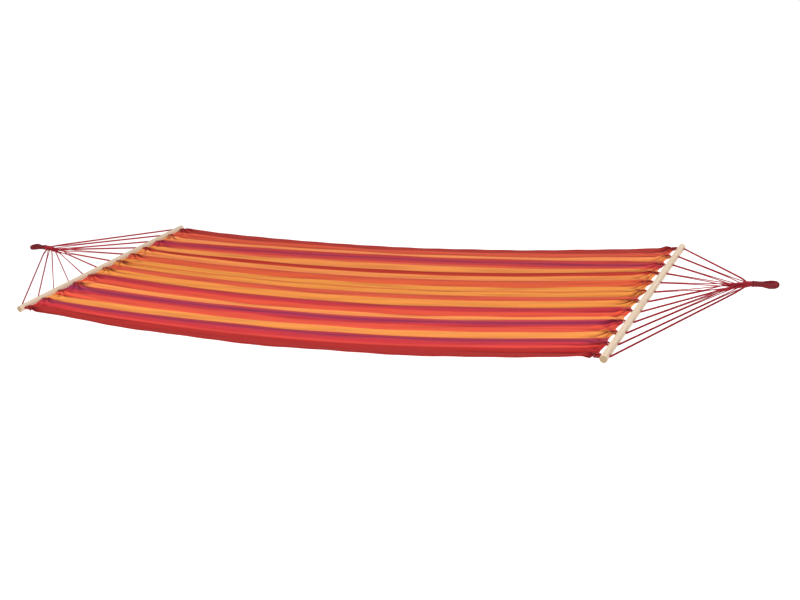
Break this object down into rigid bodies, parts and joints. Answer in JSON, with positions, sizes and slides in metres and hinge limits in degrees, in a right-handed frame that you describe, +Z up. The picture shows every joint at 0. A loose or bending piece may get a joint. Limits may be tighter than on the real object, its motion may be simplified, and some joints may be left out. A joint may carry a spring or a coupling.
{
  "type": "rope hammock",
  "caption": "Garden hammock: striped cloth bed gathered on cords to a round wooden spreader bar at each end, the cords fanned up to whipped hanging eyes.",
  "frame": {"origin": "bottom centre of the bounding box, under the lowest point of the sagging bed", "axes": "+X along the bed from the head end to the foot end, +Y across the bed along the spreader bars, +Z up"},
  "size_m": [3, 1.014, 0.128],
  "materials": {
    "cloth": "woven cotton cloth striped lengthwise in orange, coral, magenta, purple and dark red",
    "bar_wood": "pale sanded round wood bar, unvarnished",
    "cord": "burgundy twisted cotton cord",
    "eye_whipping": "burgundy cord wound tightly round the bundle"
  },
  "bodies": {
    "bed_middle": {"bed_panel_3": "cloth"},
    "bed_foot_inner": {"bed_panel_4": "cloth"},
    "bed_foot_end": {"bed_panel_5": "cloth"},
    "bed_head_inner": {"bed_panel_2": "cloth"},
    "bed_head_end": {"bed_panel_1": "cloth"},
    "head_harness": {"head_bar": "bar_wood", "head_cord_01": "cord", "head_cord_02": "cord", "head_cord_03": "cord", "head_cord_04": "cord", "head_cord_05": "cord", "head_cord_06": "cord", "head_cord_07": "cord", "head_cord_08": "cord", "head_cord_09": "cord", "head_cord_10": "cord", "head_cord_11": "cord", "head_cord_12": "cord"},
    "foot_harness": {"foot_bar": "bar_wood", "foot_cord_01": "cord", "foot_cord_02": "cord", "foot_cord_03": "cord", "foot_cord_04": "cord", "foot_cord_05": "cord", "foot_cord_06": "cord", "foot_cord_07": "cord", "foot_cord_08": "cord", "foot_cord_09": "cord", "foot_cord_10": "cord", "foot_cord_11": "cord", "foot_cord_12": "cord"},
    "head_hanger": {"head_neck": "eye_whipping", "head_eye": "eye_whipping"},
    "foot_hanger": {"foot_neck": "eye_whipping", "foot_eye": "eye_whipping"}
  },
  "joints": [
    {"name": "bed_curl", "type": "hinge", "parent": "bed_middle", "child": "bed_foot_inner", "pos_m": [0.2146, 0, 0.0071], "axis": [0, -1, 0], "range_deg": [-3, 40], "stiffness_Nm_per_rad": 120, "springref_deg": 2.8},
    {"name": "bed_curl_foot_end", "type": "hinge", "parent": "bed_foot_inner", "child": "bed_foot_end", "pos_m": [0.6438, 0, 0.0231], "axis": [0, -1, 0], "range_deg": [-3, 40], "stiffness_Nm_per_rad": 60, "springref_deg": 2.08},
    {"name": "bed_curl_head", "type": "hinge", "parent": "bed_middle", "child": "bed_head_inner", "pos_m": [-0.2146, 0, 0.0071], "axis": [0, 1, 0], "range_deg": [-3, 40], "stiffness_Nm_per_rad": 120, "springref_deg": 2.8},
    {"name": "bed_curl_head_end", "type": "hinge", "parent": "bed_head_inner", "child": "bed_head_end", "pos_m": [-0.6438, 0, 0.0231], "axis": [0, 1, 0], "range_deg": [-3, 40], "stiffness_Nm_per_rad": 60, "springref_deg": 2.08},
    {"name": "head_swing", "type": "hinge", "parent": "bed_head_end", "child": "head_harness", "pos_m": [-1.073, 0, 0.0525], "axis": [0, 1, 0], "range_deg": [-120, 120], "stiffness_Nm_per_rad": 8, "springref_deg": 1.04},
    {"name": "foot_swing", "type": "hinge", "parent": "bed_foot_end", "child": "foot_harness", "pos_m": [1.073, 0, 0.0525], "axis": [0, -1, 0], "range_deg": [-120, 120], "stiffness_Nm_per_rad": 8, "springref_deg": 1.04},
    {"name": "head_eye_tilt", "type": "hinge", "parent": "head_harness", "child": "head_hanger", "pos_m": [-1.418, 0, 0.1135], "axis": [0, 1, 0], "range_deg": [-60, 60], "stiffness_Nm_per_rad": 0.4, "springref_deg": 0.4},
    {"name": "foot_eye_tilt", "type": "hinge", "parent": "foot_harness", "child": "foot_hanger", "pos_m": [1.418, 0, 0.1135], "axis": [0, -1, 0], "range_deg": [-60, 60], "stiffness_Nm_per_rad": 0.4, "springref_deg": 0.4}
  ],
  "couplings": [
    {"joint": "bed_curl_foot_end", "follows": "bed_curl", "ratio": 1},
    {"joint": "bed_curl_head", "follows": "bed_curl", "ratio": 1},
    {"joint": "bed_curl_head_end", "follows": "bed_curl", "ratio": 1}
  ]
}
